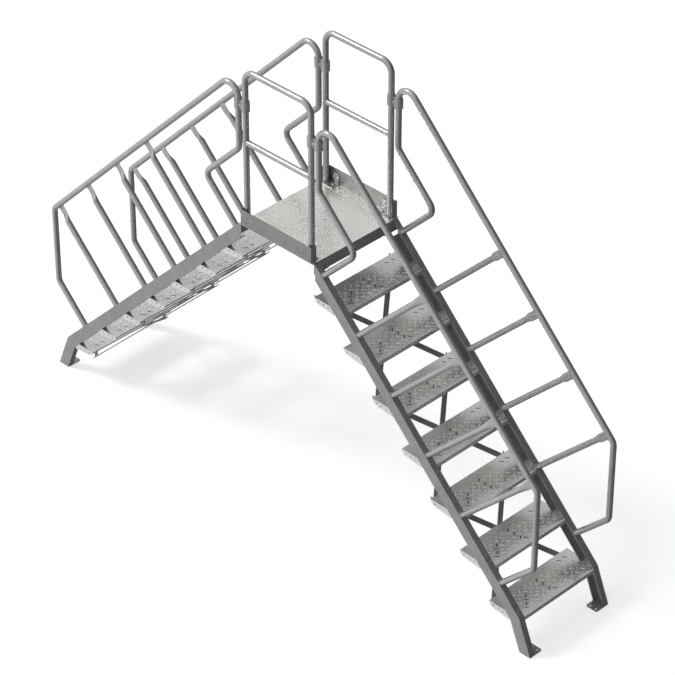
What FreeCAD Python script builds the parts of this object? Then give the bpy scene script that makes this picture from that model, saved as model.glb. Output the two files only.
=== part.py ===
# Crossover platform: a raised deck with a 45 degree stair on each side, guard rails and handrails.
# Millimetres, +Z up. +X runs along the walk, +Y across it, and the origin is on the floor under the
# middle of the deck. "right" is the +X stair, "left" the -X stair, "near" the -Y side, "far" +Y.

import FreeCAD, Part
import math
import os

# Stair geometry
RISER = 241.3
RUN = 241.3
RISER_COUNT = 8
TREAD_DEPTH = 248.0

# Deck
DECK_LENGTH = 623.0
DECK_OVERHANG = 11.5
DECK_PLATE = 4.8
SKIRT_DEPTH = 78.0
STIFFENER_LEG = 36.0
STIFFENER_WALL = 4.0
STIFFENER_INSET = 157.0

# Toe boards
TOE_HEIGHT = 104.0
TOE_INSET = 15.5
TOE_WALL = 4.8
TOE_RETURN = 40.0

# Stringer channels
STRINGER_SPAN = 694.0
CHANNEL_DEPTH = 79.0
CHANNEL_FLANGE = 42.5
CHANNEL_WALL = 4.8
KINK_HEIGHT = 249.0
LEG_ANGLE = 22.0
END_PLATE = 6.0
END_PLATE_WIDTH = 115.0
END_PLATE_DROP = 78.0

# Foot plates
FOOT_PLATE = 6.0
FOOT_REACH = 106.0
FOOT_CORNER = 8.0
ANCHOR_HOLE = 14.0
ANCHOR_SPACING = 41.0
ANCHOR_EDGE = 18.0

# Treads
TREAD_WALL = 3.0
NOSE_HEIGHT = 28.5
NOSE_RETURN = 14.0
REAR_LIP = 9.0
TREAD_END_WALL = 5.0
TREAD_END_REAR = 34.0
TREAD_END_CUT = 183.0
TREAD_END_FRONT = 52.0
TREAD_END_LENGTH = 215.0
TREAD_HOLE = 11.0
TREAD_HOLE_PITCH = 40.5
TREAD_HOLE_DROP = 17.0
TREAD_HOLE_COUNT = 4
TREAD_HOLE_EDGE = 36.0

# Bracing behind the treads
BRACE_WIDTH = 34.0
BRACE_WALL = 6.0
BRACE_OFFSET = 202.0
BRACE_SHIFT = 6.0
BRACE_END_INSET = 32.0
BRACE_LUG_INSET = 44.0
BRACE_LUG_LENGTH = 26.0
BRACE_LUG_WALL = 6.0
BRACE_PANELS = ((1, 3), (3, 5), (5, 7))

# Tubes, which are closed at both ends and modelled solid
TUBE_OD = 38.1
GUARD_HEIGHT = 1067.0
MID_RAIL_HEIGHT = 564.0
POST_INSET = 41.5
GUARD_BEND = 76.0
HANDRAIL_HEIGHT = 1067.0
HANDRAIL_TOP_BEND = 76.0
HANDRAIL_BEND = 57.0
LOWER_FOOT_INSET = 229.0
LOWER_CORNER_OFFSET = 341.0
UPPER_FOOT_ALONG = 87.5
UPPER_CORNER_OFFSET = 365.5
BALUSTER_COUNT = 4
BALUSTER_FIRST = 489.5
BALUSTER_PITCH = 402.0
PADDLE_WIDTH = 54.0
PADDLE_THICKNESS = 9.0
PADDLE_LENGTH = 52.0
PADDLE_TAPER = 48.0
PADDLE_SET = 12.0

# Clamps between guard posts and handrails
CLAMP_GAP = 22.2
CLAMP_WALL = 7.0
CLAMP_HEIGHT = 64.0
CLAMP_DROP = 259.0
CLAMP_SLOT = 5.0

# Guard post feet
FOOT_BASE_LENGTH = 106.0
FOOT_BASE_INNER = 25.0
FOOT_BASE_WALL = 6.0
FOOT_BASE_HEIGHT = 76.0
TOE_BOLT_INSET = 57.0
TOE_BOLT_HEIGHT = 55.0
DECK_BOLT_INSET = 63.0

# Bolt holes
BOLT_DIAMETER = 10.0
BOLT_WASHER = 17.0
BOLT_HOLE_CLEARANCE = 1.0
END_BOLT_INSET = 91.5
END_BOLT_DROPS = (26.0, 58.0)

# Fits
CLEARANCE = 0.3

# Levels and lines that follow from the sizes above
DECK_HEIGHT = RISER * RISER_COUNT
SLOPE = math.atan2(RISER, RUN)
DECK_EDGE = DECK_LENGTH / 2
WEB_OUTER = STRINGER_SPAN / 2
DECK_SIDE = WEB_OUTER + DECK_OVERHANG
WEB_INNER = WEB_OUTER - CHANNEL_WALL
FLANGE_TOE = WEB_OUTER - CHANNEL_FLANGE
RAIL_Y = WEB_OUTER - CHANNEL_FLANGE / 2
POST_X = DECK_EDGE - POST_INSET
TOE_END = DECK_EDGE - TOE_INSET
HANDRAIL_X = POST_X + TUBE_OD + CLAMP_GAP
TOE_INNER = DECK_SIDE - TOE_WALL
DECK_BOLT_X = POST_X - DECK_BOLT_INSET
TOE_BOLT_X = POST_X - TOE_BOLT_INSET
END_BOLT_Y = WEB_OUTER - END_BOLT_INSET
TREAD_COUNT = RISER_COUNT - 1
LOWER_FOOT_ALONG = (DECK_HEIGHT - KINK_HEIGHT) / math.sin(SLOPE) - LOWER_FOOT_INSET


def vec(x, y, z):
    return FreeCAD.Vector(x, y, z)


def box(x0, x1, y0, y1, z0, z1):
    return Part.makeBox(x1 - x0, y1 - y0, z1 - z0, vec(x0, y0, z0))


def prism(points, y0, y1):
    """Outline of (x, z) points, extruded from y0 to y1."""
    corners = [vec(x, y0, z) for x, z in points]
    face = Part.Face(Part.makePolygon(corners + corners[:1]))
    return face.extrude(vec(0, y1 - y0, 0))


def mirrored(shape, flip_x, flip_y):
    """The piece of the right near quarter, turned over to the side that is asked for."""
    result = shape
    if flip_x:
        result = result.mirror(vec(0, 0, 0), vec(1, 0, 0))
    if flip_y:
        result = result.mirror(vec(0, 0, 0), vec(0, 1, 0))
    return result


def slope_point(along, offset):
    """(x, z) at a distance down the slope from the deck edge, and out from the nosing line."""
    x = DECK_EDGE + along * math.cos(SLOPE) + offset * math.sin(SLOPE)
    z = DECK_HEIGHT - along * math.sin(SLOPE) + offset * math.cos(SLOPE)
    return x, z


def slope_x_at(z, offset):
    """x of the line at this offset from the nosing line, at height z."""
    along = (DECK_HEIGHT + offset * math.cos(SLOPE) - z) / math.sin(SLOPE)
    return slope_point(along, offset)[0]


def slope_z_at(x, offset):
    """Height of the line at this offset from the nosing line, at x."""
    along = (x - DECK_EDGE - offset * math.sin(SLOPE)) / math.cos(SLOPE)
    return slope_point(along, offset)[1]


# Stringers

def stringer_line(depth):
    """Top end, kink and bottom end of the line that lies this deep below the top flange."""
    leg = math.radians(LEG_ANGLE)
    normal = (math.sin(SLOPE), math.cos(SLOPE))
    leg_normal = (math.cos(leg), math.sin(leg))
    start_x = DECK_EDGE + END_PLATE
    kink_x = slope_x_at(KINK_HEIGHT, 0)
    share = depth / (1 + normal[0] * leg_normal[0] + normal[1] * leg_normal[1])
    kink = (
        kink_x - share * (normal[0] + leg_normal[0]),
        KINK_HEIGHT - share * (normal[1] + leg_normal[1]),
    )
    foot_x = kink[0] + (kink[1] - FOOT_PLATE) * math.tan(leg)
    return [(start_x, slope_z_at(start_x, -depth)), kink, (foot_x, FOOT_PLATE)]


def strip(upper, lower, y0, y1):
    return prism(stringer_line(upper) + stringer_line(lower)[::-1], y0, y1)


def tread_level(number):
    return DECK_HEIGHT - number * RISER


def nose_x(number):
    return DECK_EDGE + number * RUN


def flange_notch(number):
    """Room that the bottom flange leaves for one tread and its end plate."""
    top = tread_level(number)
    drop = TREAD_END_FRONT + CLEARANCE
    front = nose_x(number)
    return box(front - TREAD_DEPTH - CLEARANCE, front, -WEB_INNER, -FLANGE_TOE + 1,
               top - drop, top + CLEARANCE)


def stringer():
    web = strip(0, CHANNEL_DEPTH, -WEB_OUTER, -WEB_INNER)
    top_flange = strip(0, CHANNEL_WALL, -WEB_INNER, -FLANGE_TOE)
    bottom_flange = strip(CHANNEL_DEPTH - CHANNEL_WALL, CHANNEL_DEPTH, -WEB_INNER, -FLANGE_TOE)
    for number in range(1, TREAD_COUNT + 1):
        bottom_flange = bottom_flange.cut(flange_notch(number))
    return web.fuse([top_flange, bottom_flange]).removeSplitter()


def end_bolt_points():
    """Centres of the bolts between one stringer's end plate and the deck skirt."""
    return [(-END_BOLT_Y, DECK_HEIGHT - drop) for drop in END_BOLT_DROPS]


def end_plate():
    top = slope_z_at(DECK_EDGE + END_PLATE, 0)
    plate = box(DECK_EDGE, DECK_EDGE + END_PLATE, -WEB_OUTER, -WEB_OUTER + END_PLATE_WIDTH,
                DECK_HEIGHT - END_PLATE_DROP, top)
    for y, z in end_bolt_points():
        plate = plate.cut(bolt_hole(vec(DECK_EDGE, y, z), vec(1, 0, 0), END_PLATE))
    return plate


def foot_plate():
    heel = stringer_line(CHANNEL_DEPTH)[2][0]
    toe = stringer_line(0)[2][0]
    inner = -WEB_OUTER + FOOT_REACH
    outline = [
        vec(heel, -WEB_OUTER, 0),
        vec(toe, -WEB_OUTER, 0),
        vec(toe, inner - FOOT_CORNER, 0),
        vec(toe - FOOT_CORNER, inner, 0),
        vec(heel + FOOT_CORNER, inner, 0),
        vec(heel, inner - FOOT_CORNER, 0),
    ]
    plate = Part.Face(Part.makePolygon(outline + outline[:1])).extrude(vec(0, 0, FOOT_PLATE))
    middle = (heel + toe) / 2
    for side in (-1, 1):
        centre = vec(middle + side * ANCHOR_SPACING / 2, inner - ANCHOR_EDGE, -1)
        plate = plate.cut(Part.makeCylinder(ANCHOR_HOLE / 2, FOOT_PLATE + 2, centre))
    return plate


# Bolt holes

def bolt_hole(start, axis, depth):
    """Cutter for a bolt's hole through a plate that begins at start."""
    radius = (BOLT_DIAMETER + BOLT_HOLE_CLEARANCE) / 2
    return Part.makeCylinder(radius, depth + 2, start.sub(axis), axis)


# Deck

def deck_pan():
    underside = DECK_HEIGHT - DECK_PLATE
    pan = box(-DECK_EDGE, DECK_EDGE, -DECK_SIDE, DECK_SIDE, underside, DECK_HEIGHT)
    skirts = []
    for side in (-1, 1):
        x0 = min(side * DECK_EDGE, side * (DECK_EDGE - DECK_PLATE))
        skirt = box(x0, x0 + DECK_PLATE, -WEB_OUTER, WEB_OUTER,
                    DECK_HEIGHT - SKIRT_DEPTH, underside)
        for y, z in end_bolt_points():
            for flip in (1, -1):
                skirt = skirt.cut(bolt_hole(vec(x0, flip * y, z), vec(1, 0, 0), DECK_PLATE))
        skirts.append(skirt)
    pan = pan.fuse(skirts)
    for x, y in deck_bolt_points():
        pan = pan.cut(bolt_hole(vec(x, y, underside), vec(0, 0, 1), DECK_PLATE))
    return pan


def deck_stiffener():
    """Angle under the deck, between the two skirts."""
    reach = DECK_EDGE - DECK_PLATE
    top = DECK_HEIGHT - DECK_PLATE
    y = STIFFENER_INSET - WEB_OUTER
    lying = box(-reach, reach, y, y + STIFFENER_LEG, top - STIFFENER_WALL, top)
    hanging = box(-reach, reach, y, y + STIFFENER_WALL, top - STIFFENER_LEG, top - STIFFENER_WALL)
    return lying.fuse(hanging).removeSplitter()


def toe_board():
    half = TOE_END
    outer = -DECK_SIDE
    top = DECK_HEIGHT + TOE_HEIGHT
    board = box(-half, half, outer, -TOE_INNER, DECK_HEIGHT, top)
    returns = []
    for side in (-1, 1):
        x0 = min(side * half, side * (half - TOE_WALL))
        returns.append(box(x0, x0 + TOE_WALL, -TOE_INNER, -TOE_INNER + TOE_RETURN, DECK_HEIGHT, top))
    board = board.fuse(returns).removeSplitter()
    for x in (-TOE_BOLT_X, TOE_BOLT_X):
        start = vec(x, outer, DECK_HEIGHT + TOE_BOLT_HEIGHT)
        board = board.cut(bolt_hole(start, vec(0, 1, 0), TOE_WALL))
    return board


def deck_bolt_points():
    y = RAIL_Y
    return [(sx * DECK_BOLT_X, sy * y) for sx in (-1, 1) for sy in (-1, 1)]


def post_foot():
    """Angle that carries the +X post of the near guard rail, bolted to the deck and the toe board."""
    outer_x = TOE_END - TOE_WALL - CLEARANCE
    inner_x = outer_x - FOOT_BASE_LENGTH
    back = -TOE_INNER
    front = -RAIL_Y + TUBE_OD / 2 + FOOT_BASE_INNER - TUBE_OD / 4
    base = box(inner_x, outer_x, back, front, DECK_HEIGHT, DECK_HEIGHT + FOOT_BASE_WALL)
    upright = box(inner_x, DECK_BOLT_X + BOLT_WASHER, back, back + FOOT_BASE_WALL,
                  DECK_HEIGHT + FOOT_BASE_WALL, DECK_HEIGHT + FOOT_BASE_HEIGHT)
    foot = base.fuse(upright).removeSplitter()
    deck_hole = vec(DECK_BOLT_X, -RAIL_Y, DECK_HEIGHT)
    foot = foot.cut(bolt_hole(deck_hole, vec(0, 0, 1), FOOT_BASE_WALL))
    toe_hole = vec(TOE_BOLT_X, back, DECK_HEIGHT + TOE_BOLT_HEIGHT)
    return foot.cut(bolt_hole(toe_hole, vec(0, 1, 0), FOOT_BASE_WALL))


# Treads

def flange_room():
    """Space of both top flanges with their clearance, which the treads leave free."""
    near = strip(-CHANNEL_WALL, CHANNEL_WALL + CLEARANCE, -WEB_OUTER, -FLANGE_TOE + CLEARANCE)
    return near.fuse(mirrored(near, False, True))


def tread(number, room):
    top = tread_level(number)
    nose = nose_x(number)
    rear = nose - TREAD_DEPTH
    edge = WEB_INNER
    plate = box(rear, nose, -edge, edge, top - TREAD_WALL, top)
    band = box(nose - TREAD_WALL, nose, -edge, edge, top - NOSE_HEIGHT, top - TREAD_WALL)
    lip = box(nose - NOSE_RETURN, nose - TREAD_WALL, -edge, edge,
              top - NOSE_HEIGHT, top - NOSE_HEIGHT + TREAD_WALL)
    rear_lip = box(rear, rear + TREAD_WALL, -edge, edge, top - REAR_LIP, top - TREAD_WALL)
    end = tread_end(rear, top)
    ends = [end, mirrored(end, False, True)]
    return plate.fuse([band, lip, rear_lip] + ends).cut(room).removeSplitter()


def tread_end(rear, top):
    """Tapered plate under one end of a tread, with its rear corner cut along the slope."""
    low = top - TREAD_WALL
    front = rear + TREAD_END_LENGTH
    outline = [
        (rear, low),
        (rear, slope_z_at(rear, -TREAD_END_CUT)),
        (slope_x_at(top - TREAD_END_REAR, -TREAD_END_CUT), top - TREAD_END_REAR),
        (front - TREAD_END_FRONT, top - TREAD_END_FRONT),
        (front, low),
    ]
    plate = prism(outline, -WEB_INNER, -WEB_INNER + TREAD_END_WALL)
    for step in range(TREAD_HOLE_COUNT):
        centre = vec(rear + TREAD_HOLE_EDGE + step * TREAD_HOLE_PITCH, -WEB_INNER - 1,
                     top - TREAD_HOLE_DROP)
        plate = plate.cut(Part.makeCylinder(TREAD_HOLE / 2, TREAD_END_WALL + 2, centre, vec(0, 1, 0)))
    return plate


# Bracing

def brace_seat(number):
    """Distance down the slope at which a bar passes under a tread's lug."""
    rear = nose_x(number) - TREAD_DEPTH
    top = tread_level(number)
    upper = (rear, slope_z_at(rear, -TREAD_END_CUT))
    lower = (slope_x_at(top - TREAD_END_REAR, -TREAD_END_CUT), top - TREAD_END_REAR)
    middle = ((upper[0] + lower[0]) / 2, (upper[1] + lower[1]) / 2)
    run = (middle[0] - DECK_EDGE) * math.cos(SLOPE)
    return run + (DECK_HEIGHT - middle[1]) * math.sin(SLOPE) + BRACE_SHIFT


def slope_vector(along, y, offset):
    x, z = slope_point(along, offset)
    return vec(x, y, z)


def brace_bar(along_near, along_far):
    """Flat bar across the stair, in the plane of the lugs' lower edges."""
    between = 2 * (WEB_OUTER - BRACE_LUG_INSET - BRACE_LUG_WALL / 2)
    reach = WEB_OUTER - BRACE_END_INSET
    pitch = (along_far - along_near) / between
    middle = (along_near + along_far) / 2
    half = BRACE_WIDTH / 2 * math.hypot(1, pitch)
    near = middle - pitch * reach
    far = middle + pitch * reach
    corners = [
        slope_vector(near - half, -reach, -BRACE_OFFSET),
        slope_vector(near + half, -reach, -BRACE_OFFSET),
        slope_vector(far + half, reach, -BRACE_OFFSET),
        slope_vector(far - half, reach, -BRACE_OFFSET),
    ]
    face = Part.Face(Part.makePolygon(corners + corners[:1]))
    return face.extrude(vec(-math.sin(SLOPE), 0, -math.cos(SLOPE)) * BRACE_WALL)


def brace_lugs(number):
    """Upright plates under one tread that carry the bars, near and far."""
    rear = nose_x(number) - TREAD_DEPTH + TREAD_WALL + CLEARANCE
    front = rear + BRACE_LUG_LENGTH
    low = tread_level(number) - TREAD_WALL
    outline = [(rear, low), (rear, slope_z_at(rear, -BRACE_OFFSET)),
               (front, slope_z_at(front, -BRACE_OFFSET)), (front, low)]
    y0 = -WEB_OUTER + BRACE_LUG_INSET
    lug = prism(outline, y0, y0 + BRACE_LUG_WALL)
    return [lug, mirrored(lug, False, True)]


def bracing():
    pieces = []
    for upper, lower in BRACE_PANELS:
        pieces.append(brace_bar(brace_seat(upper), brace_seat(lower)))
        pieces.append(brace_bar(brace_seat(lower), brace_seat(upper)))
    for number in sorted({number for panel in BRACE_PANELS for number in panel}):
        pieces.extend(brace_lugs(number))
    return pieces[0].fuse(pieces[1:]).removeSplitter()


# Tubes

def straight_tube(start, end):
    axis = end.sub(start)
    return Part.makeCylinder(TUBE_OD / 2, axis.Length, start, axis)


def tube_bend(start, tangent, centre, turn):
    """Bend that begins at start and turns about the Y line through centre."""
    section = Part.Face(Part.Wire(Part.makeCircle(TUBE_OD / 2, start, tangent)))
    return section.revolve(centre, vec(0, 1, 0), math.degrees(turn))


def bent_tube(points, radii):
    """Tube along corners in one plane of constant y, with a bend radius at each inner corner."""
    pieces = []
    last = points[0]
    for index in range(1, len(points) - 1):
        arriving = points[index].sub(points[index - 1]).normalize()
        leaving = points[index + 1].sub(points[index]).normalize()
        turn = arriving.getAngle(leaving)
        setback = radii[index - 1] * math.tan(turn / 2)
        begin = points[index].sub(arriving * setback)
        side = arriving.cross(leaving)
        sense = 1 if side.y > 0 else -1
        inward = vec(arriving.z * sense, 0, -arriving.x * sense)
        centre = begin.add(inward * radii[index - 1])
        pieces.append(straight_tube(last, begin))
        pieces.append(tube_bend(begin, arriving, centre, turn * sense))
        last = points[index].add(leaving * setback)
    pieces.append(straight_tube(last, points[-1]))
    return pieces[0].fuse(pieces[1:])


def guard_rail():
    """Bent guard tube of the near side with the feet of its two posts."""
    foot = DECK_HEIGHT + FOOT_BASE_WALL
    top = DECK_HEIGHT + GUARD_HEIGHT - TUBE_OD / 2
    corners = [vec(-POST_X, -RAIL_Y, foot), vec(-POST_X, -RAIL_Y, top),
               vec(POST_X, -RAIL_Y, top), vec(POST_X, -RAIL_Y, foot)]
    tube = bent_tube(corners, [GUARD_BEND, GUARD_BEND])
    feet = [post_foot(), mirrored(post_foot(), True, False)]
    return tube.fuse(feet)


def mid_rail():
    """Rail between the posts, its ends shaped to the posts."""
    z = DECK_HEIGHT + MID_RAIL_HEIGHT
    rail = straight_tube(vec(-POST_X, -RAIL_Y, z), vec(POST_X, -RAIL_Y, z))
    for side in (-1, 1):
        post = Part.makeCylinder(TUBE_OD / 2 + CLEARANCE / 2, TUBE_OD * 2,
                                 vec(side * POST_X, -RAIL_Y, z - TUBE_OD))
        rail = rail.cut(post)
    return rail


def rail_offset():
    """Distance of the handrail's centre line from the nosing line."""
    return HANDRAIL_HEIGHT * math.cos(SLOPE) - TUBE_OD / 2


def handrail():
    """Handrail of the right stair, near side, from its lower foot to its upper foot."""
    lower_foot = slope_vector(LOWER_FOOT_ALONG, -RAIL_Y, 0)
    lower_corner = slope_vector(LOWER_FOOT_ALONG, -RAIL_Y, LOWER_CORNER_OFFSET)
    lower_x = lower_corner.x
    rise = vec(lower_x, -RAIL_Y, slope_z_at(lower_x, rail_offset()))
    crest = vec(HANDRAIL_X, -RAIL_Y, slope_z_at(HANDRAIL_X, rail_offset()))
    drop = vec(HANDRAIL_X, -RAIL_Y, slope_z_at(HANDRAIL_X, UPPER_CORNER_OFFSET))
    upper_corner = slope_vector(UPPER_FOOT_ALONG, -RAIL_Y, UPPER_CORNER_OFFSET)
    upper_foot = slope_vector(UPPER_FOOT_ALONG, -RAIL_Y, 0)
    corners = [lower_foot, lower_corner, rise, crest, drop, upper_corner, upper_foot]
    radii = [HANDRAIL_BEND, HANDRAIL_BEND, HANDRAIL_TOP_BEND, HANDRAIL_BEND, HANDRAIL_BEND]
    return bent_tube(corners, radii)


def flat_outline(centre, normal, wide_axis):
    """Oval cross-section of a tube's flattened end."""
    curve = Part.Ellipse(centre.add(wide_axis * (PADDLE_WIDTH / 2)),
                         centre.add(normal.cross(wide_axis) * (PADDLE_THICKNESS / 2)), centre)
    return Part.Wire(curve.toShape())


def baluster(along):
    """Round tube on the stringer's top flange, flattened to its inner side below the handrail."""
    out = vec(math.sin(SLOPE), 0, math.cos(SLOPE))
    down = vec(math.cos(SLOPE), 0, -math.sin(SLOPE))
    height = rail_offset()
    foot = slope_vector(along, -RAIL_Y, 0)
    neck = foot.add(out * (height - TUBE_OD / 2 - PADDLE_LENGTH - PADDLE_TAPER))
    inward = vec(0, PADDLE_SET, 0)
    shoulder = neck.add(out * PADDLE_TAPER).add(inward)
    tip = foot.add(out * (height - TUBE_OD / 4)).add(inward)
    ring = Part.Circle(neck, out, TUBE_OD / 2)
    ring.XAxis = down
    flat = flat_outline(shoulder, out, down)
    taper = Part.makeLoft([Part.Wire(ring.toShape()), flat], True, True)
    rail = Part.makeCylinder(TUBE_OD / 2 + CLEARANCE / 2, PADDLE_WIDTH * 2,
                             foot.add(out * height).sub(down * PADDLE_WIDTH), down)
    paddle = Part.Face(flat).extrude(tip.sub(shoulder)).cut(rail)
    return straight_tube(foot, neck).fuse([taper, paddle])


def balusters():
    places = [BALUSTER_FIRST + step * BALUSTER_PITCH for step in range(BALUSTER_COUNT)]
    return Part.makeCompound([baluster(along) for along in places])


def clamp():
    """Two formed plates around a guard post and a handrail, with the hole of the bolt that draws them."""
    z0 = DECK_HEIGHT + GUARD_HEIGHT - CLAMP_DROP - CLAMP_HEIGHT / 2
    bore = TUBE_OD / 2 + CLEARANCE / 2
    waist = CLAMP_SLOT / 2 + CLAMP_WALL
    centres = [vec(POST_X, -RAIL_Y, z0), vec(HANDRAIL_X, -RAIL_Y, z0)]
    body = box(POST_X, HANDRAIL_X, -RAIL_Y - waist, -RAIL_Y + waist, z0, z0 + CLAMP_HEIGHT)
    body = body.fuse([Part.makeCylinder(bore + CLAMP_WALL, CLAMP_HEIGHT, centre) for centre in centres])
    slot = box(POST_X, HANDRAIL_X, -RAIL_Y - CLAMP_SLOT / 2, -RAIL_Y + CLAMP_SLOT / 2,
               z0, z0 + CLAMP_HEIGHT)
    hole_start = vec((POST_X + HANDRAIL_X) / 2, -RAIL_Y - waist, z0 + CLAMP_HEIGHT / 2)
    cutters = [Part.makeCylinder(bore, CLAMP_HEIGHT, centre) for centre in centres]
    return body.cut(cutters + [slot, bolt_hole(hole_start, vec(0, 1, 0), 2 * waist)])


def save(name, shape):
    shape.exportStep("parts/" + name + ".step")


def pair(shape, flip_x):
    """A near piece and its far twin, which share a node."""
    return Part.makeCompound([mirrored(shape, flip_x, False), mirrored(shape, flip_x, True)])


def main():
    os.makedirs("parts", exist_ok=True)
    save("deck_pan", deck_pan())
    save("deck_stiffeners", pair(deck_stiffener(), False))
    sides = (("near", False), ("far", True))
    stairs = (("right", False), ("left", True))
    shapes = {
        "toe_board": toe_board(),
        "guard_rail": guard_rail(),
        "mid_rail": mid_rail(),
    }
    for name, shape in shapes.items():
        for side, flip_y in sides:
            save(name + "_" + side, mirrored(shape, False, flip_y))
    quarter = {
        "stringer": stringer(),
        "handrail": handrail(),
        "balusters": balusters(),
        "clamp": clamp(),
    }
    for name, shape in quarter.items():
        for stair, flip_x in stairs:
            for side, flip_y in sides:
                save(name + "_" + stair + "_" + side, mirrored(shape, flip_x, flip_y))
    ends = pair(end_plate(), False)
    feet = pair(foot_plate(), False)
    braces = bracing()
    room = flange_room()
    treads = [tread(number, room) for number in range(1, TREAD_COUNT + 1)]
    for stair, flip_x in stairs:
        save("end_plates_" + stair, mirrored(ends, flip_x, False))
        save("foot_plates_" + stair, mirrored(feet, flip_x, False))
        save("bracing_" + stair, mirrored(braces, flip_x, False))
        for number, shape in enumerate(treads, 1):
            save("tread_" + stair + "_" + str(number), mirrored(shape, flip_x, False))


main()
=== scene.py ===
import math

import bmesh
import bpy
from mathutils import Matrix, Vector


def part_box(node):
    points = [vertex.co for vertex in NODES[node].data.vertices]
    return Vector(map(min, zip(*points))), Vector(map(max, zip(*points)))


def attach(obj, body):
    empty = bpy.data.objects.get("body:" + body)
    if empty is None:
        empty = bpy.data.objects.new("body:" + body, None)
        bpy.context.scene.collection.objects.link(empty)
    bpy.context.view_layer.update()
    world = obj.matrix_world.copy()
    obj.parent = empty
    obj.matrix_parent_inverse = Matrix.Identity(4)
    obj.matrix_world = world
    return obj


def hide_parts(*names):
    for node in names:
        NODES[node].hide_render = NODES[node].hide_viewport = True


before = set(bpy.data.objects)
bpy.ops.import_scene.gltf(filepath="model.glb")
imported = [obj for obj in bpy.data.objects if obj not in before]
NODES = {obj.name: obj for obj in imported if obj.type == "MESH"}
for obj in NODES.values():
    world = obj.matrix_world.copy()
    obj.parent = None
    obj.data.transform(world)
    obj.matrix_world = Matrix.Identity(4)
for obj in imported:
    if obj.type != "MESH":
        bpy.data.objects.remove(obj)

bl_info = {
    "name": "Crossover platform finish",
    "version": (1, 0, 0),
    "blender": (4, 5, 0),
    "location": "View3D > Sidebar > Platform",
    "description": "Dresses a packed crossover platform with zinc finishes, tread plate, bolts and welds",
    "category": "Object",
}

ROOT = "root"
TREADS = [name for name in sorted(NODES) if name.startswith("tread_")]

# Places on the right near quarter, in metres; the other quarters mirror them
DECK_EDGE = 0.3115
DECK_TOP = 1.9304
DECK_PLATE = 0.0048
TUBE_RADIUS = 0.01905
RAIL_Y = 0.32575
POST_X = 0.270
MID_RAIL_Z = DECK_TOP + 0.564
RAIL_OFFSET = 0.73543
WEB_INNER = 0.3422
FLANGE_TOE = 0.3045
BALUSTERS_ALONG = (0.4895, 0.8915, 1.2935, 1.6955)
FEET_ALONG = (0.0875, 2.1489)
PADDLE_FACES = (0.0068, 0.0172)
PADDLE_HALF = 0.024
FOOT_BASE_TOP = DECK_TOP + 0.006
DECK_BOLT_X = 0.207
POST_FOOT = (0.238, -0.322, DECK_TOP)
TOE_BOLT = (0.213, 1.9854)
TOE_FACES = (0.3537, 0.3477)
END_BOLT_Y = 0.2555
END_BOLT_LEVELS = (1.9044, 1.8724)
END_FACES = (0.3175, 0.3067)
CLAMP_BOLT = (0.30015, 2.7384)
CLAMP_FACES = (0.33525, 0.31625)
FOOT_PLATE_WALL = 0.0052
END_WELD_TOP = DECK_TOP - 0.0128
END_WELD_FOOT = DECK_TOP - 0.078
QUARTERS = ((1, 1), (-1, 1), (1, -1), (-1, -1))
RING_POINTS = 28
WELD_LIFT = 0.001
WELD_CLEARANCE = 0.0008
OUT = Vector((math.sqrt(0.5), 0.0, math.sqrt(0.5)))
DOWN = Vector((math.sqrt(0.5), 0.0, -math.sqrt(0.5)))

# Pressed lozenges of a tread: distance behind the nose, place across, and the way they lie
SLOTS = ((0.200, 0.267, 1), (0.200, 0.217, 1), (0.174, -0.008, -1), (0.124, -0.008, -1),
         (0.074, -0.008, -1), (0.050, 0.017, 1), (0.124, -0.158, -1), (0.100, -0.183, 1),
         (0.074, -0.208, -1), (0.050, -0.233, 1))
LOZENGE_TURN = math.pi / 4

# Flush bolts of the toe boards
PLUG_SIZES = {"Across Flats": 0.005, "Hex Height": 0.0001, "Washer": 0.0108, "Washer Height": 0.0045,
              "Stud": 0.003, "Stud Height": 0.0001}

# Shares of a finish's colour
TOE_BOARD_SHADE = 0.85
# The tread plate is dimmed to this share of the tread colour, so that the raised lozenges at the full
# colour stand out as a painted highlight.
TREAD_SHADE = 0.78

# Stage
FLOOR_REACH = 60.0
KEY_DIRECTION = Vector((-0.62, -0.38, 0.69))
KEY_ANGLE = math.radians(16)
STUDIO_DIRECTION = Vector((-0.72, -0.55, 0.30))
STUDIO_DARK_END = -0.75
STUDIO_BRIGHT_END = 1.0


# Sizes and colours that a user would change, in metres

class PlatformFinish(bpy.types.PropertyGroup):
    steel_colour: bpy.props.FloatVectorProperty(
        name="Steel", description="Zinc of the stringers, toe boards and plates",
        subtype="COLOR", size=3, min=0.0, max=1.0, default=(0.35, 0.35, 0.344))
    tube_colour: bpy.props.FloatVectorProperty(
        name="Tube", description="Zinc of the rails and balusters",
        subtype="COLOR", size=3, min=0.0, max=1.0, default=(0.47, 0.47, 0.463))
    # The full tread colour goes on the raised lozenges as a painted highlight; the plate takes a dimmer
    # share of it.
    tread_colour: bpy.props.FloatVectorProperty(
        name="Tread", description="Brighter zinc of the tread plates",
        subtype="COLOR", size=3, min=0.0, max=1.0, default=(0.98, 0.98, 0.955))
    # The pale deck zinc goes only on the top of the deck pan, lighter than its sides as painted light.
    deck_colour: bpy.props.FloatVectorProperty(
        name="Deck", description="Pale zinc of the deck plate",
        subtype="COLOR", size=3, min=0.0, max=1.0, default=(0.95, 0.945, 0.915))
    bolt_colour: bpy.props.FloatVectorProperty(
        name="Bolt", description="Plated bolts, nuts and washers",
        subtype="COLOR", size=3, min=0.0, max=1.0, default=(0.52, 0.52, 0.50))
    spangle: bpy.props.FloatProperty(
        name="Spangle", description="Width of one zinc crystal", subtype="DISTANCE",
        unit="LENGTH", min=0.002, max=0.1, default=0.016)


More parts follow.
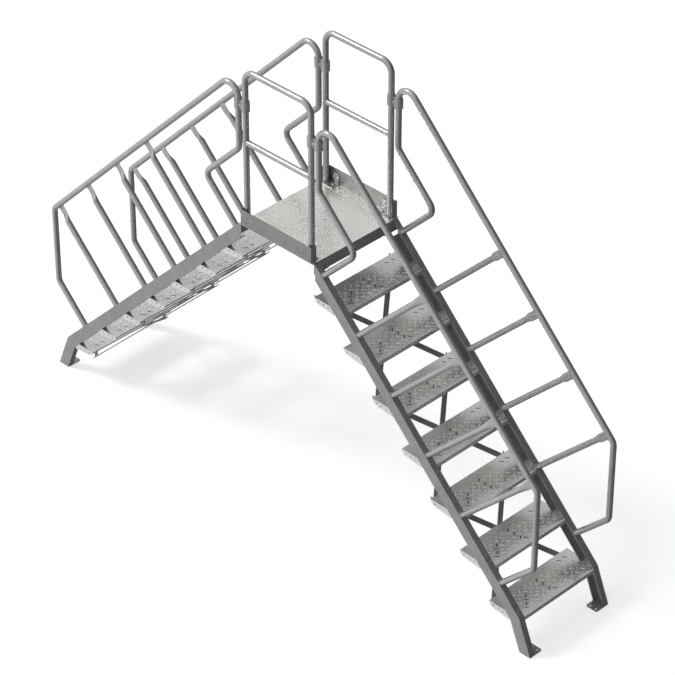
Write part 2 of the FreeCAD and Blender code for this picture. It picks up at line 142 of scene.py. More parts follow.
class PlatformTreadPlate(bpy.types.PropertyGroup):
    pitch: bpy.props.FloatProperty(
        name="Tread pitch", description="Distance between raised lozenges that lie the same way on a tread",
        subtype="DISTANCE", unit="LENGTH", min=0.01, max=0.2, default=0.050)
    length: bpy.props.FloatProperty(
        name="Lozenge length", description="Length of one raised lozenge of a tread",
        subtype="DISTANCE", unit="LENGTH", min=0.005, max=0.1, default=0.036)
    width: bpy.props.FloatProperty(
        name="Lozenge width", description="Width of one raised lozenge of a tread",
        subtype="DISTANCE", unit="LENGTH", min=0.002, max=0.05, default=0.0075)
    height: bpy.props.FloatProperty(
        name="Lozenge height", description="Height of one raised lozenge over the tread",
        subtype="DISTANCE", unit="LENGTH", min=0.0002, max=0.005, default=0.0019)
    # The pressed lozenges look dark because their cut faces carry a painted shade.
    slot_depth: bpy.props.FloatProperty(
        name="Slot depth", description="Depth of the dark lozenges pressed into a tread",
        subtype="DISTANCE", unit="LENGTH", min=0.0005, max=0.0028, default=0.0022)
    dot_size: bpy.props.FloatProperty(
        name="Dot size", description="Diameter of the small holes behind a nose",
        subtype="DISTANCE", unit="LENGTH", min=0.001, max=0.02, default=0.0055)
    dot_pitch: bpy.props.FloatProperty(
        name="Dot pitch", description="Distance between the small holes behind a nose",
        subtype="DISTANCE", unit="LENGTH", min=0.005, max=0.1, default=0.025)
    deck_scale: bpy.props.FloatProperty(
        name="Deck scale", description="Size of the deck's pattern as a share of the treads' pattern",
        subtype="FACTOR", min=0.2, max=1.0, default=0.5)


class PlatformFasteners(bpy.types.PropertyGroup):
    across_flats: bpy.props.FloatProperty(
        name="Across flats", description="Width of a bolt's head and nut between two flats",
        subtype="DISTANCE", unit="LENGTH", min=0.005, max=0.05, default=0.017)
    head_height: bpy.props.FloatProperty(
        name="Head height", description="Height of a bolt's head",
        subtype="DISTANCE", unit="LENGTH", min=0.002, max=0.02, default=0.0065)
    washer: bpy.props.FloatProperty(
        name="Washer", description="Outer diameter of a washer",
        subtype="DISTANCE", unit="LENGTH", min=0.01, max=0.05, default=0.021)
    bead: bpy.props.FloatProperty(
        name="Weld bead", description="Radius of a weld's bead",
        subtype="DISTANCE", unit="LENGTH", min=0.0005, max=0.01, default=0.0026)
    ripple: bpy.props.FloatProperty(
        name="Weld ripple", description="Distance between two ripples of a weld",
        subtype="DISTANCE", unit="LENGTH", min=0.001, max=0.02, default=0.0034)


class PlatformStage(bpy.types.PropertyGroup):
    camera_place: bpy.props.FloatVectorProperty(
        name="Camera", description="Place of the camera", subtype="TRANSLATION",
        unit="LENGTH", size=3, default=(11.108, -10.933, 12.159))
    camera_tilt: bpy.props.FloatProperty(
        name="Tilt", description="Turn of the camera up from straight down",
        subtype="ANGLE", default=math.radians(54.577))
    camera_turn: bpy.props.FloatProperty(
        name="Turn", description="Turn of the camera about the upright axis",
        subtype="ANGLE", default=math.radians(45.053))
    focal_length: bpy.props.FloatProperty(
        name="Focal length", description="Lens on a 36 mm wide frame, in millimetres",
        min=10.0, max=500.0, default=167.66)
    key_strength: bpy.props.FloatProperty(
        name="Key light", description="Strength of the light from the upper left", min=0.0, default=1.0)
    sky_level: bpy.props.FloatProperty(
        name="Sky level", description="Share of the studio's brightness that lights the object softly",
        subtype="FACTOR", min=0.0, max=1.0, default=0.72)
    dark_side: bpy.props.FloatProperty(
        name="Dark side", description="Brightness of the studio on the side away from the light",
        subtype="FACTOR", min=0.0, max=1.0, default=0.10)
    floor_lift: bpy.props.FloatProperty(
        name="Floor lift", description="How far the floor's own paleness lightens its shadow",
        subtype="FACTOR", min=0.0, max=1.0, default=0.55)


# Node helpers

def link(tree, source, target):
    tree.links.new(source, target)


def math_node(tree, operation, first, second):
    """Math node of two inputs, each a socket or a number."""
    node = tree.nodes.new("ShaderNodeMath")
    node.operation = operation
    for place, value in enumerate((first, second)):
        if isinstance(value, (int, float)):
            node.inputs[place].default_value = value
        else:
            link(tree, value, node.inputs[place])
    return node.outputs[0]


def shared_tree(name, build):
    """Node group of this name, built the first time that it is asked for."""
    return bpy.data.node_groups.get(name) or build()


def build_zinc_group():
    """Shader group of hot-dip zinc: crystals, cloudy mottling and fine grain."""
    tree = bpy.data.node_groups.new("zinc_surface", "ShaderNodeTree")
    face = tree.interface
    inputs = (("Zinc", "NodeSocketColor"), ("Spangle Size", "NodeSocketFloat"),
              ("Spangle Contrast", "NodeSocketFloat"), ("Cloud Contrast", "NodeSocketFloat"),
              ("Base Roughness", "NodeSocketFloat"), ("Roughness Spread", "NodeSocketFloat"))
    for name, kind in inputs:
        face.new_socket(name=name, in_out="INPUT", socket_type=kind)
    for name, kind in (("Color", "NodeSocketColor"), ("Roughness", "NodeSocketFloat"),
                       ("Height", "NodeSocketFloat")):
        face.new_socket(name=name, in_out="OUTPUT", socket_type=kind)
    start = tree.nodes.new("NodeGroupInput")
    end = tree.nodes.new("NodeGroupOutput")
    place = tree.nodes.new("ShaderNodeTexCoord").outputs["Object"]

    crystals = tree.nodes.new("ShaderNodeTexVoronoi")
    crystals.feature = "F1"
    link(tree, place, crystals.inputs["Vector"])
    scale = math_node(tree, "DIVIDE", 1.0, start.outputs["Spangle Size"])
    link(tree, scale, crystals.inputs["Scale"])
    split = tree.nodes.new("ShaderNodeSeparateColor")
    link(tree, crystals.outputs["Color"], split.inputs[0])
    cell = math_node(tree, "SUBTRACT", split.outputs[0], 0.5)

    clouds = tree.nodes.new("ShaderNodeTexNoise")
    clouds.inputs["Scale"].default_value = 9.0
    clouds.inputs["Detail"].default_value = 5.0
    clouds.inputs["Roughness"].default_value = 0.62
    link(tree, place, clouds.inputs["Vector"])
    cloud = math_node(tree, "SUBTRACT", clouds.outputs["Fac"], 0.5)

    grain = tree.nodes.new("ShaderNodeTexNoise")
    grain.inputs["Scale"].default_value = 420.0
    grain.inputs["Detail"].default_value = 2.0
    link(tree, place, grain.inputs["Vector"])

    spangle = math_node(tree, "MULTIPLY", cell, start.outputs["Spangle Contrast"])
    mottle = math_node(tree, "MULTIPLY", cloud, start.outputs["Cloud Contrast"])
    level = math_node(tree, "ADD", math_node(tree, "ADD", spangle, mottle), 1.0)
    tone = tree.nodes.new("ShaderNodeVectorMath")
    tone.operation = "SCALE"
    link(tree, start.outputs["Zinc"], tone.inputs[0])
    link(tree, level, tone.inputs["Scale"])
    link(tree, tone.outputs[0], end.inputs["Color"])

    spread = math_node(tree, "MULTIPLY", math_node(tree, "ADD", cell, cloud),
                       start.outputs["Roughness Spread"])
    roughness = math_node(tree, "ADD", spread, start.outputs["Base Roughness"])
    link(tree, roughness, end.inputs["Roughness"])
    ridge = math_node(tree, "MULTIPLY", crystals.outputs["Distance"], 0.25)
    fine = math_node(tree, "MULTIPLY", grain.outputs["Fac"], 0.04)
    link(tree, math_node(tree, "ADD", math_node(tree, "ADD", ridge, fine), clouds.outputs["Fac"]),
         end.inputs["Height"])
    return tree


def zinc_material(name, colour, metallic, roughness, spangle=0.016, contrast=0.16, clouds=0.5,
                  spread=0.12, bump=0.00012, specular=0.35):
    """Galvanised finish of one kind of piece."""
    material = bpy.data.materials.new(name)
    material.use_nodes = True
    tree = material.node_tree
    shader = tree.nodes["Principled BSDF"]
    shader.inputs["Metallic"].default_value = metallic
    shader.inputs["Specular IOR Level"].default_value = specular
    surface = tree.nodes.new("ShaderNodeGroup")
    surface.node_tree = shared_tree("zinc_surface", build_zinc_group)
    surface.inputs["Zinc"].default_value = (*colour, 1.0)
    surface.inputs["Spangle Size"].default_value = spangle
    surface.inputs["Spangle Contrast"].default_value = contrast
    surface.inputs["Cloud Contrast"].default_value = clouds
    surface.inputs["Base Roughness"].default_value = roughness
    surface.inputs["Roughness Spread"].default_value = spread
    link(tree, surface.outputs["Color"], shader.inputs["Base Color"])
    link(tree, surface.outputs["Roughness"], shader.inputs["Roughness"])
    relief = tree.nodes.new("ShaderNodeBump")
    relief.inputs["Strength"].default_value = 0.6
    relief.inputs["Distance"].default_value = bump
    link(tree, surface.outputs["Height"], relief.inputs["Height"])
    link(tree, relief.outputs["Normal"], shader.inputs["Normal"])
    return material


def deck_lit_top_material(colour, steel, level):
    """Deck finish with painted light: pale zinc above the level of the plate's face as a lit top, the
    steelwork's darker zinc below it as painted shade on the pan's sides.
    """
    material = zinc_material("zinc_deck_painted_lit_top", colour, metallic=0.7, roughness=0.25, contrast=0.05, clouds=0.14)
    tree = material.node_tree
    shader = tree.nodes["Principled BSDF"]
    pale = next(node for node in tree.nodes if node.type == "GROUP")
    dark = tree.nodes.new("ShaderNodeGroup")
    dark.node_tree = pale.node_tree
    for socket in dark.inputs:
        socket.default_value = pale.inputs[socket.name].default_value
    dark.inputs["Zinc"].default_value = (*steel, 1.0)
    dark.inputs["Spangle Contrast"].default_value = 0.16
    dark.inputs["Cloud Contrast"].default_value = 0.5
    dark.inputs["Base Roughness"].default_value = 0.45
    # Faces above the level get the pale copy and faces below it the dark copy: painted light and shade on
    # one folded sheet.
    split = tree.nodes.new("ShaderNodeSeparateXYZ")
    link(tree, tree.nodes.new("ShaderNodeTexCoord").outputs["Object"], split.inputs[0])
    above = math_node(tree, "GREATER_THAN", split.outputs["Z"], level)
    blends = (("Color", "Base Color", "RGBA"), ("Roughness", "Roughness", "FLOAT"))
    for output, target, kind in blends:
        blend = tree.nodes.new("ShaderNodeMix")
        blend.data_type = kind
        ends = [socket for socket in blend.inputs if socket.enabled and socket.name in ("A", "B")]
        link(tree, above, blend.inputs["Factor"])
        link(tree, dark.outputs[output], ends[0])
        link(tree, pale.outputs[output], ends[1])
        result = next(socket for socket in blend.outputs if socket.enabled)
        link(tree, result, shader.inputs[target])
    return material


def recess_shade_material():
    """Painted shade: near-black zinc on the cut faces of the pressed lozenges and small holes of the
    treads, darkening these recesses as if shaded.
    """
    return zinc_material("slot_painted_shade", (0.035, 0.035, 0.033), metallic=0.0, roughness=0.8,
                         contrast=0.3, clouds=0.6)


def finish_nodes(prefixes, material):
    """Gives a material to every CAD node whose name starts with one of the prefixes."""
    for name, piece in NODES.items():
        if name.startswith(prefixes):
            piece.data.materials.clear()
            piece.data.materials.append(material)


# Geometry Nodes helpers

def new_tree(name, inputs):
    """Empty tree with named inputs of (name, socket kind, value to start from)."""
    tree = bpy.data.node_groups.new(name, "GeometryNodeTree")
    for label, kind, value in inputs:
        socket = tree.interface.new_socket(name=label, in_out="INPUT", socket_type=kind)
        if value is not None:
            socket.default_value = value
    tree.interface.new_socket(name="Geometry", in_out="OUTPUT", socket_type="NodeSocketGeometry")
    return tree, tree.nodes.new("NodeGroupInput").outputs, tree.nodes.new("NodeGroupOutput").inputs


def add_node(tree, kind, values=(), **settings):
    """Node with its settings made and its inputs linked to a socket or set to a value."""
    node = tree.nodes.new(kind)
    for name, value in settings.items():
        setattr(node, name, value)
    for key, value in dict(values).items():
        if isinstance(value, bpy.types.NodeSocket):
            link(tree, value, node.inputs[key])
        else:
            node.inputs[key].default_value = value
    return node


def combine(tree, x, y, z):
    """Vector of three sockets or numbers."""
    return add_node(tree, "ShaderNodeCombineXYZ", {"X": x, "Y": y, "Z": z}).outputs[0]


def half(tree, value):
    """Half of a socket's value."""
    return math_node(tree, "MULTIPLY", value, 0.5)


def grow(name, mesh, tree, values):
    """Piece whose plain mesh is what a tree makes from a starting mesh."""
    seed = bpy.data.objects.new(name + "_seed", mesh)
    bpy.context.scene.collection.objects.link(seed)
    modifier = seed.modifiers.new(tree.name, "NODES")
    modifier.node_group = tree
    for item in tree.interface.items_tree:
        if item.in_out == "INPUT" and item.name in values:
            modifier[item.identifier] = values[item.name]
    graph = bpy.context.evaluated_depsgraph_get()
    result = bpy.data.meshes.new_from_object(seed.evaluated_get(graph), depsgraph=graph)
    bpy.data.objects.remove(seed)
    if not result.polygons:
        raise RuntimeError(name + " came out empty")
    piece = bpy.data.objects.new(name, result)
    bpy.context.scene.collection.objects.link(piece)
    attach(piece, ROOT)
    return piece


def merged_copy(node):
    """Copy of a CAD node's mesh with its loose triangles joined and its faces shaded flat."""
    shape = bmesh.new()
    shape.from_mesh(NODES[node].data)
    bmesh.ops.remove_doubles(shape, verts=shape.verts, dist=1e-6)
    for face in shape.faces:
        face.smooth = False
    bmesh.ops.dissolve_limit(shape, angle_limit=math.radians(0.5), verts=shape.verts, edges=shape.edges)
    mesh = bpy.data.meshes.new(node + "_copy")
    shape.to_mesh(mesh)
    shape.free()
    kept = mesh.attributes.get("custom_normal")
    if kept:
        mesh.attributes.remove(kept)
    return mesh


def marked_points(name, mark, places):
    """Loose points of (place, vector), the vector kept under the name of the mark."""
    mesh = bpy.data.meshes.new(name)
    mesh.from_pydata([place for place, vector in places], [], [])
    marks = mesh.attributes.new(mark, "FLOAT_VECTOR", "POINT")
    marks.data.foreach_set("vector", [value for place, vector in places for value in vector])
    return mesh


def slope_place(along, out):
    """Place over the right near stringer, down its slope and out from its top flange."""
    return Vector((DECK_EDGE, -RAIL_Y, DECK_TOP)) + DOWN * along + OUT * out


def mirrored(vector, quarter):
    """Place or direction of the right near quarter, moved to another quarter."""
    return Vector((vector[0] * quarter[0], vector[1] * quarter[1], vector[2]))


# Tread plate

def build_lozenge():
    """One lozenge with sloped sides, standing on its widest outline."""
    tree, start, end = new_tree("lozenge", (
        ("Length", "NodeSocketFloat", 0.036), ("Width", "NodeSocketFloat", 0.0075),
        ("Height", "NodeSocketFloat", 0.0019), ("Top Share", "NodeSocketFloat", 0.55)))
    body = add_node(tree, "GeometryNodeMeshCone", {
        "Vertices": 8, "Radius Top": start["Top Share"], "Radius Bottom": 1.0, "Depth": 1.0})
    scale = combine(tree, half(tree, start["Length"]), half(tree, start["Width"]), start["Height"])
    sized = add_node(tree, "GeometryNodeTransform", {"Geometry": body.outputs["Mesh"], "Scale": scale})
    link(tree, sized.outputs[0], end["Geometry"])
    return tree


def build_lozenge_rows():
    """Square field of lozenges that all lie one way, without those that a keep-out point covers."""
    tree, start, end = new_tree("lozenge_rows", (
        ("Keep Out", "NodeSocketGeometry", None),
        ("Rows", "NodeSocketInt", 3), ("Columns", "NodeSocketInt", 13),
        ("Pitch", "NodeSocketFloat", 0.05), ("Middle", "NodeSocketVector", None),
        ("Angle", "NodeSocketFloat", 0.0), ("Length", "NodeSocketFloat", 0.036),
        ("Width", "NodeSocketFloat", 0.0075), ("Height", "NodeSocketFloat", 0.0019),
        ("Clear Radius", "NodeSocketFloat", 0.01)))
    spans = [math_node(tree, "MULTIPLY", math_node(tree, "SUBTRACT", start[count], 1.0), start["Pitch"])
             for count in ("Rows", "Columns")]
    grid = add_node(tree, "GeometryNodeMeshGrid", {
        "Size X": spans[0], "Size Y": spans[1],
        "Vertices X": start["Rows"], "Vertices Y": start["Columns"]})
    moved = add_node(tree, "GeometryNodeTransform", {
        "Geometry": grid.outputs["Mesh"], "Translation": start["Middle"]})
    near = add_node(tree, "GeometryNodeProximity", {0: start["Keep Out"]}, target_element="POINTS")
    covered = add_node(tree, "FunctionNodeCompare", {
        0: near.outputs["Distance"], 1: start["Clear Radius"]}, data_type="FLOAT", operation="LESS_THAN")
    counted = add_node(tree, "GeometryNodeAttributeDomainSize", {0: start["Keep Out"]})
    some = add_node(tree, "FunctionNodeCompare", {2: counted.outputs["Point Count"], 3: 0},
                    data_type="INT", operation="GREATER_THAN")
    drop = add_node(tree, "FunctionNodeBooleanMath", {0: covered.outputs[0], 1: some.outputs[0]},
                    operation="AND")
    kept = add_node(tree, "GeometryNodeDeleteGeometry", {
        "Geometry": moved.outputs[0], "Selection": drop.outputs[0]}, domain="POINT")
    shape = add_node(tree, "GeometryNodeGroup", node_tree=shared_tree("lozenge", build_lozenge))
    for name in ("Length", "Width", "Height"):
        link(tree, start[name], shape.inputs[name])
    placed = add_node(tree, "GeometryNodeInstanceOnPoints", {
        "Points": kept.outputs[0], "Instance": shape.outputs[0],
        "Rotation": combine(tree, 0.0, 0.0, start["Angle"])})
    solid = add_node(tree, "GeometryNodeRealizeInstances", {0: placed.outputs[0]})
    link(tree, solid.outputs[0], end["Geometry"])
    return tree


def build_tread_plate():
    """Tread with pressed lozenges and a row of small holes cut in, and raised lozenges on top."""
    tree, start, end = new_tree("tread_plate", (
        ("Geometry", "NodeSocketGeometry", None), ("Slots", "NodeSocketObject", None),
        ("Nose", "NodeSocketVector", None), ("Turn", "NodeSocketFloat", 0.0),
        ("Pitch", "NodeSocketFloat", 0.05), ("Length", "NodeSocketFloat", 0.036),
        ("Width", "NodeSocketFloat", 0.0075), ("Height", "NodeSocketFloat", 0.0019),
        ("Slot Depth", "NodeSocketFloat", 0.0022), ("Dot Size", "NodeSocketFloat", 0.0055),
        ("Dot Pitch", "NodeSocketFloat", 0.025), ("Dot Inset", "NodeSocketFloat", 0.014),
        ("Dot Count", "NodeSocketInt", 25), ("First Row", "NodeSocketFloat", 0.124),
        ("Second Row", "NodeSocketFloat", 0.1), ("Middle", "NodeSocketFloat", -0.008),
        ("Zinc", "NodeSocketMaterial", None), ("Painted Highlight", "NodeSocketMaterial", None),
        ("Painted Shade", "NodeSocketMaterial", None)))
    slots = add_node(tree, "GeometryNodeObjectInfo", {"Object": start["Slots"]})
    turn = combine(tree, 0.0, 0.0, start["Turn"])

    fields = []
    for back, angle, columns in (("First Row", -LOZENGE_TURN, 13), ("Second Row", LOZENGE_TURN, 12)):
        middle = combine(tree, math_node(tree, "MULTIPLY", start[back], -1.0), start["Middle"], 0.0)
        rows = shared_tree("lozenge_rows", build_lozenge_rows)
        field = add_node(tree, "GeometryNodeGroup", node_tree=rows)
        for name, value in (("Keep Out", slots.outputs["Geometry"]), ("Middle", middle),
                            ("Pitch", start["Pitch"]), ("Length", start["Length"]),
                            ("Width", start["Width"]), ("Height", start["Height"])):
            link(tree, value, field.inputs[name])
        field.inputs["Columns"].default_value = columns
        field.inputs["Angle"].default_value = angle
        fields.append(field.outputs[0])

    mark = add_node(tree, "GeometryNodeInputNamedAttribute", {"Name": "turn"}, data_type="FLOAT_VECTOR")
    cutter = add_node(tree, "GeometryNodeGroup", {"Top Share": 1.0},
                      node_tree=shared_tree("lozenge", build_lozenge))
    link(tree, start["Length"], cutter.inputs["Length"])
    link(tree, start["Width"], cutter.inputs["Width"])
    link(tree, math_node(tree, "MULTIPLY", start["Slot Depth"], 2.0), cutter.inputs["Height"])
    lowered = add_node(tree, "GeometryNodeTransform", {
        "Geometry": cutter.outputs[0],
        "Translation": combine(tree, 0.0, 0.0, math_node(tree, "MULTIPLY", start["Slot Depth"], -1.0))})
    slot_cuts = add_node(tree, "GeometryNodeInstanceOnPoints", {
        "Points": slots.outputs["Geometry"], "Instance": lowered.outputs[0],
        "Rotation": mark.outputs["Attribute"]})

    last = math_node(tree, "SUBTRACT", start["Dot Count"], 1.0)
    first_y = math_node(tree, "MULTIPLY", math_node(tree, "MULTIPLY", last, start["Dot Pitch"]), -0.5)
    first_x = math_node(tree, "MULTIPLY", start["Dot Inset"], -1.0)
    line = add_node(tree, "GeometryNodeMeshLine", {
        "Count": start["Dot Count"], "Start Location": combine(tree, first_x, first_y, 0.0),
        "Offset": combine(tree, 0.0, start["Dot Pitch"], 0.0)})
    drill = add_node(tree, "GeometryNodeMeshCylinder", {
        "Vertices": 10, "Radius": half(tree, start["Dot Size"]), "Depth": 0.009})
    dot_cuts = add_node(tree, "GeometryNodeInstanceOnPoints", {
        "Points": line.outputs["Mesh"], "Instance": drill.outputs["Mesh"]})

    cuts = add_node(tree, "GeometryNodeJoinGeometry")
    link(tree, slot_cuts.outputs[0], cuts.inputs[0])
    link(tree, dot_cuts.outputs[0], cuts.inputs[0])
    cut_solids = add_node(tree, "GeometryNodeRealizeInstances", {0: cuts.outputs[0]})
    # The cut faces of the pressed lozenges and small holes take the near-black material, a painted shade in
    # these recesses.
    shaded_cuts = add_node(tree, "GeometryNodeSetMaterial", {
        "Geometry": cut_solids.outputs[0], "Material": start["Painted Shade"]})
    cutters = add_node(tree, "GeometryNodeTransform", {
        "Geometry": shaded_cuts.outputs[0], "Translation": start["Nose"], "Rotation": turn})
    plated = add_node(tree, "GeometryNodeSetMaterial", {
        "Geometry": start["Geometry"], "Material": start["Zinc"]})
    opened = add_node(tree, "GeometryNodeMeshBoolean", operation="DIFFERENCE", solver="EXACT")
    link(tree, plated.outputs[0], opened.inputs["Mesh 1"])
    link(tree, cutters.outputs[0], opened.inputs["Mesh 2"])

    raised = add_node(tree, "GeometryNodeJoinGeometry")
    for field in fields:
        link(tree, field, raised.inputs[0])
    on_top = add_node(tree, "GeometryNodeTransform", {
        "Geometry": raised.outputs[0], "Translation": start["Nose"], "Rotation": turn})
    # Raised lozenges get the brighter material, a painted highlight over the dimmer plate.
    zinced = add_node(tree, "GeometryNodeSetMaterial", {
        "Geometry": on_top.outputs[0], "Material": start["Painted Highlight"]})
    whole = add_node(tree, "GeometryNodeJoinGeometry")
    link(tree, opened.outputs["Mesh"], whole.inputs[0])
    link(tree, zinced.outputs[0], whole.inputs[0])
    link(tree, whole.outputs[0], end["Geometry"])
    return tree


def build_deck_pattern():
    """Fine field of raised lozenges over the deck, kept clear of the post feet."""
    tree, start, end = new_tree("deck_pattern", (
        ("Keep Out", "NodeSocketGeometry", None), ("Centre", "NodeSocketVector", None),
        ("Pitch", "NodeSocketFloat", 0.025), ("Length", "NodeSocketFloat", 0.018),
        ("Width", "NodeSocketFloat", 0.00375), ("Height", "NodeSocketFloat", 0.00095),
        ("Rows", "NodeSocketInt", 24), ("Columns", "NodeSocketInt", 27),
        ("Clear Radius", "NodeSocketFloat", 0.066), ("Zinc", "NodeSocketMaterial", None)))
    joined = add_node(tree, "GeometryNodeJoinGeometry")
    for fewer, angle in ((0.0, -LOZENGE_TURN), (1.0, LOZENGE_TURN)):
        rows = shared_tree("lozenge_rows", build_lozenge_rows)
        field = add_node(tree, "GeometryNodeGroup", node_tree=rows)
        for name in ("Keep Out", "Pitch", "Length", "Width", "Height", "Clear Radius"):
            link(tree, start[name], field.inputs[name])
        link(tree, start["Centre"], field.inputs["Middle"])
        for count in ("Rows", "Columns"):
            link(tree, math_node(tree, "SUBTRACT", start[count], fewer), field.inputs[count])
        field.inputs["Angle"].default_value = angle
        link(tree, field.outputs[0], joined.inputs[0])
    zinced = add_node(tree, "GeometryNodeSetMaterial", {
        "Geometry": joined.outputs[0], "Material": start["Zinc"]})
    link(tree, zinced.outputs[0], end["Geometry"])
    return tree


# Fasteners and welds

def build_hex_fastener():
    """Washer, hexagon and round end on every marked point, turned to the point's outward direction."""
    tree, start, end = new_tree("hex_fastener", (
        ("Geometry", "NodeSocketGeometry", None), ("Across Flats", "NodeSocketFloat", 0.017),
        ("Hex Height", "NodeSocketFloat", 0.0065), ("Washer", "NodeSocketFloat", 0.021),
        ("Washer Height", "NodeSocketFloat", 0.0016), ("Stud", "NodeSocketFloat", 0.0098),
        ("Stud Height", "NodeSocketFloat", 0.0), ("Bolt", "NodeSocketMaterial", None)))
    corner = math_node(tree, "DIVIDE", start["Across Flats"], 2 * math.cos(math.pi / 6))
    above_hex = math_node(tree, "ADD", start["Washer Height"], start["Hex Height"])
    chamfer = math_node(tree, "MULTIPLY", start["Hex Height"], 0.16)
    flank = math_node(tree, "SUBTRACT", start["Hex Height"], chamfer)
    parts = add_node(tree, "GeometryNodeJoinGeometry")

    def disc(radius, height, low, corners, top=None):
        """Adds a cylinder, or a cone where a top radius is given, that stands on a level."""
        if top is None:
            solid = add_node(tree, "GeometryNodeMeshCylinder", {
                "Vertices": corners, "Radius": radius, "Depth": height})
            lift = math_node(tree, "ADD", low, half(tree, height))
        else:
            solid = add_node(tree, "GeometryNodeMeshCone", {
                "Vertices": corners, "Radius Bottom": radius, "Radius Top": top, "Depth": height})
            lift = low
        moved = add_node(tree, "GeometryNodeTransform", {
            "Geometry": solid.outputs["Mesh"], "Translation": combine(tree, 0.0, 0.0, lift)})
        link(tree, moved.outputs[0], parts.inputs[0])

    disc(half(tree, start["Washer"]), start["Washer Height"], 0.0, corners=20)
    disc(corner, flank, start["Washer Height"], corners=6)
    disc(corner, chamfer, math_node(tree, "ADD", start["Washer Height"], flank), corners=6,
         top=math_node(tree, "MULTIPLY", corner, 0.86))
    disc(half(tree, start["Stud"]), start["Stud Height"], above_hex, corners=12)

    mark = add_node(tree, "GeometryNodeInputNamedAttribute", {"Name": "outward"}, data_type="FLOAT_VECTOR")
    facing = add_node(tree, "FunctionNodeAlignRotationToVector", {
        "Vector": mark.outputs["Attribute"]}, axis="Z")
    points = add_node(tree, "GeometryNodeMeshToPoints", {0: start["Geometry"]})
    placed = add_node(tree, "GeometryNodeInstanceOnPoints", {
        "Points": points.outputs[0], "Instance": parts.outputs[0], "Rotation": facing.outputs[0]})
    solid = add_node(tree, "GeometryNodeRealizeInstances", {0: placed.outputs[0]})
    plated = add_node(tree, "GeometryNodeSetMaterial", {
        "Geometry": solid.outputs[0], "Material": start["Bolt"]})
    link(tree, plated.outputs[0], end["Geometry"])
    return tree


def ring_turns():
    """Angles of the points of a closed run."""
    return [2 * math.pi * step / RING_POINTS for step in range(RING_POINTS)]


def ring(centre, axis, radius):
    """Closed run of points round an axis."""
    side = axis.orthogonal().normalized()
    other = axis.cross(side).normalized()
    points = [centre + radius * (math.cos(turn) * side + math.sin(turn) * other) for turn in ring_turns()]
    return points, True


def weld_runs():
    """Runs of weld on the right near quarter, each a list of points and whether it closes."""
    close = TUBE_RADIUS + WELD_CLEARANCE
    runs = [ring(slope_place(along, WELD_LIFT), OUT, close) for along in BALUSTERS_ALONG + FEET_ALONG]
    post_foot = Vector((POST_X, -RAIL_Y, FOOT_BASE_TOP + WELD_LIFT))
    runs.append(ring(post_foot, Vector((0, 0, 1)), close))
    saddle = []
    for turn in ring_turns():
        across, up = TUBE_RADIUS * math.sin(turn), TUBE_RADIUS * math.cos(turn)
        saddle.append(Vector((POST_X - abs(up) - WELD_LIFT, -RAIL_Y + across, MID_RAIL_Z + up)))
    runs.append((saddle, True))
    for along in BALUSTERS_ALONG:
        for face in PADDLE_FACES:
            middle = slope_place(along, RAIL_OFFSET - math.sqrt(TUBE_RADIUS ** 2 - face ** 2))
            middle.y += face
            runs.append(([middle - DOWN * PADDLE_HALF, middle + DOWN * PADDLE_HALF], False))
    low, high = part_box("foot_plates_right")
    front, back = high.x - FOOT_PLATE_WALL, low.x + FOOT_PLATE_WALL
    corners = ((front, -FLANGE_TOE), (front, -WEB_INNER), (back, -WEB_INNER), (back, -FLANGE_TOE))
    runs.append(([Vector((x, y, high.z + WELD_LIFT)) for x, y in corners], False))
    face = END_FACES[0] + WELD_LIFT
    corners = ((-FLANGE_TOE, END_WELD_TOP), (-WEB_INNER, END_WELD_TOP), (-WEB_INNER, END_WELD_FOOT))
    runs.append(([Vector((face, y, z)) for y, z in corners], False))
    return runs


def run_mesh(name, runs):
    """Edges of every run, in all four quarters."""
    points, edges = [], []
    for quarter in QUARTERS:
        for run, closed in runs:
            first = len(points)
            points += [mirrored(point, quarter) for point in run]
            edges += [(first + step, first + step + 1) for step in range(len(run) - 1)]
            if closed:
                edges.append((len(points) - 1, first))
    mesh = bpy.data.meshes.new(name)
    mesh.from_pydata(points, edges, [])
    return mesh


def build_weld_bead():
    """Rippled bead along every run of edges."""
    tree, start, end = new_tree("weld_bead", (
        ("Geometry", "NodeSocketGeometry", None), ("Bead", "NodeSocketFloat", 0.0026),
        ("Ripple", "NodeSocketFloat", 0.0034), ("Ripple Depth", "NodeSocketFloat", 0.16),
        ("Seed", "NodeSocketInt", 7), ("Weld", "NodeSocketMaterial", None)))
    runs = add_node(tree, "GeometryNodeMeshToCurve", {0: start["Geometry"]})
    steps = add_node(tree, "GeometryNodeResampleCurve", {
        "Curve": runs.outputs[0], "Length": start["Ripple"]}, mode="LENGTH")
    index = add_node(tree, "GeometryNodeInputIndex").outputs[0]
    wave = math_node(tree, "MULTIPLY", math_node(tree, "MODULO", index, 2.0), start["Ripple Depth"])
    uneven = add_node(tree, "FunctionNodeRandomValue", {"Seed": start["Seed"]}, data_type="FLOAT")
    uneven.inputs[2].default_value = 0.9
    uneven.inputs[3].default_value = 1.08
    size = math_node(tree, "SUBTRACT", uneven.outputs[1], wave)
    sized = add_node(tree, "GeometryNodeSetCurveRadius", {"Curve": steps.outputs[0], "Radius": size})
    profile = add_node(tree, "GeometryNodeCurvePrimitiveCircle", {"Resolution": 7, "Radius": start["Bead"]})
    bead = add_node(tree, "GeometryNodeCurveToMesh", {
        "Curve": sized.outputs[0], "Profile Curve": profile.outputs[0], "Fill Caps": True})
    smooth = add_node(tree, "GeometryNodeSetShadeSmooth", {0: bead.outputs[0]})
    zinced = add_node(tree, "GeometryNodeSetMaterial", {
        "Geometry": smooth.outputs[0], "Material": start["Weld"]})
    link(tree, zinced.outputs[0], end["Geometry"])
    return tree


# Operators

